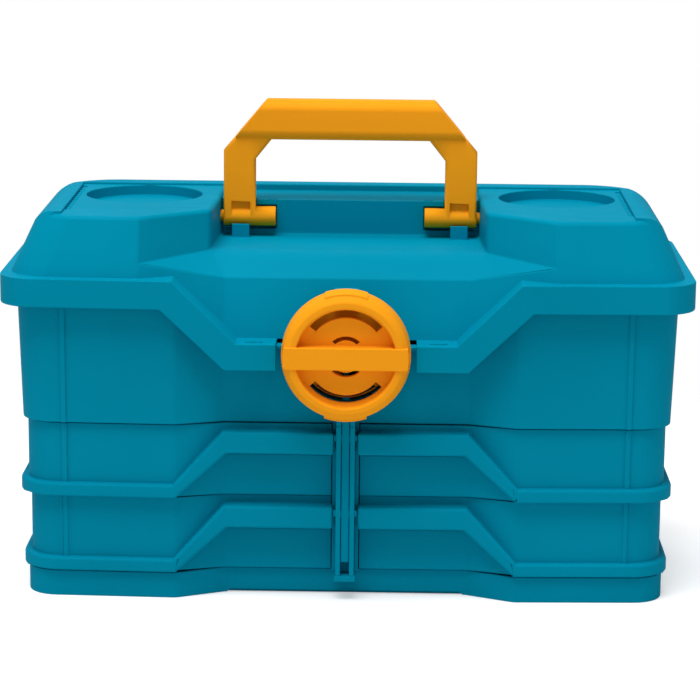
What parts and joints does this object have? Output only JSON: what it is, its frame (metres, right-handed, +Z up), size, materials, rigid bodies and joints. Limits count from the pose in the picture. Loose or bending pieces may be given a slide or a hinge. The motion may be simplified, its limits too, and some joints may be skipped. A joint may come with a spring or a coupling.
{
  "type": "tackle cabinet",
  "caption": "Portable moulded tackle cabinet: a deep bin with a hinged lid and bail handle over tiers of swing-out divided trays, latched by a turning knob.",
  "frame": {"origin": "centre of the base's underside", "axes": "+X to the right along the width, +Y towards the back, +Z up; the front with the knob faces -Y"},
  "size_m": [0.4452, 0.2145, 0.3162],
  "materials": {
    "case_plastic": "moulded, fine satin texture",
    "divider_plastic": "moulded, smooth satin",
    "handle_plastic": "moulded, satin",
    "washer_plastic": "black moulded",
    "pin_steel": "bright zinc-plated"
  },
  "bodies": {
    "cabinet": {"base_tray": "case_plastic", "rear_frame": "case_plastic", "centre_post": "case_plastic", "upper_bin": "case_plastic", "tray_pivot_pin_left": "pin_steel", "tray_pivot_pin_right": "pin_steel", "tray_spacers_left": "washer_plastic", "tray_spacers_right": "washer_plastic", "base_screws": "pin_steel", "bin_screws": "pin_steel", "lid_hinge_pins": "pin_steel"},
    "lid": {"lid_shell": "case_plastic"},
    "handle": {"carry_handle": "handle_plastic"},
    "knob": {"latch_knob": "handle_plastic", "latch_cam": "handle_plastic", "knob_screw": "pin_steel", "knob_washer": "washer_plastic", "knob_skirt": "handle_plastic"},
    "lock_bar": {"tray_lock_bar": "case_plastic"},
    "upper_left_tray": {"up_tray_left": "case_plastic", "up_dividers_left": "divider_plastic", "up_catch_left": "case_plastic"},
    "upper_right_tray": {"up_tray_right": "case_plastic", "up_dividers_right": "divider_plastic", "up_catch_right": "case_plastic"},
    "lower_left_tray": {"low_tray_left": "case_plastic", "low_dividers_left": "divider_plastic", "low_catch_left": "case_plastic"},
    "lower_right_tray": {"low_tray_right": "case_plastic", "low_dividers_right": "divider_plastic", "low_catch_right": "case_plastic"}
  },
  "joints": [
    {"name": "lid_open", "type": "hinge", "parent": "cabinet", "child": "lid", "pos_m": [0, 0.098, 0.197], "axis": [-1, 0, 0], "range_deg": [0, 100]},
    {"name": "handle_fold", "type": "hinge", "parent": "lid", "child": "handle", "pos_m": [0, 0.012, 0.2377], "axis": [1, 0, 0], "range_deg": [0, 92]},
    {"name": "knob_turn", "type": "hinge", "parent": "cabinet", "child": "knob", "pos_m": [0, -0.09, 0.167], "axis": [0, 1, 0], "range_deg": [0, 90]},
    {"name": "lock_slide", "type": "slide", "parent": "cabinet", "child": "lock_bar", "axis": [0, 0, -1], "range_m": [0, 0.0081]},
    {"name": "upper_left_tray_swing", "type": "hinge", "parent": "cabinet", "child": "upper_left_tray", "pos_m": [-0.1817, -0.0735, 0.092], "axis": [0, 0, -1], "range_deg": [0, 115]},
    {"name": "upper_right_tray_swing", "type": "hinge", "parent": "cabinet", "child": "upper_right_tray", "pos_m": [0.1817, -0.0735, 0.092], "axis": [0, 0, 1], "range_deg": [0, 115]},
    {"name": "lower_left_tray_swing", "type": "hinge", "parent": "cabinet", "child": "lower_left_tray", "pos_m": [-0.1817, -0.0735, 0.043], "axis": [0, 0, -1], "range_deg": [0, 115]},
    {"name": "lower_right_tray_swing", "type": "hinge", "parent": "cabinet", "child": "lower_right_tray", "pos_m": [0.1817, -0.0735, 0.043], "axis": [0, 0, 1], "range_deg": [0, 115]}
  ],
  "couplings": [
    {"joint": "lock_slide", "follows": "knob_turn", "m_per_rad": 0.005092}
  ]
}
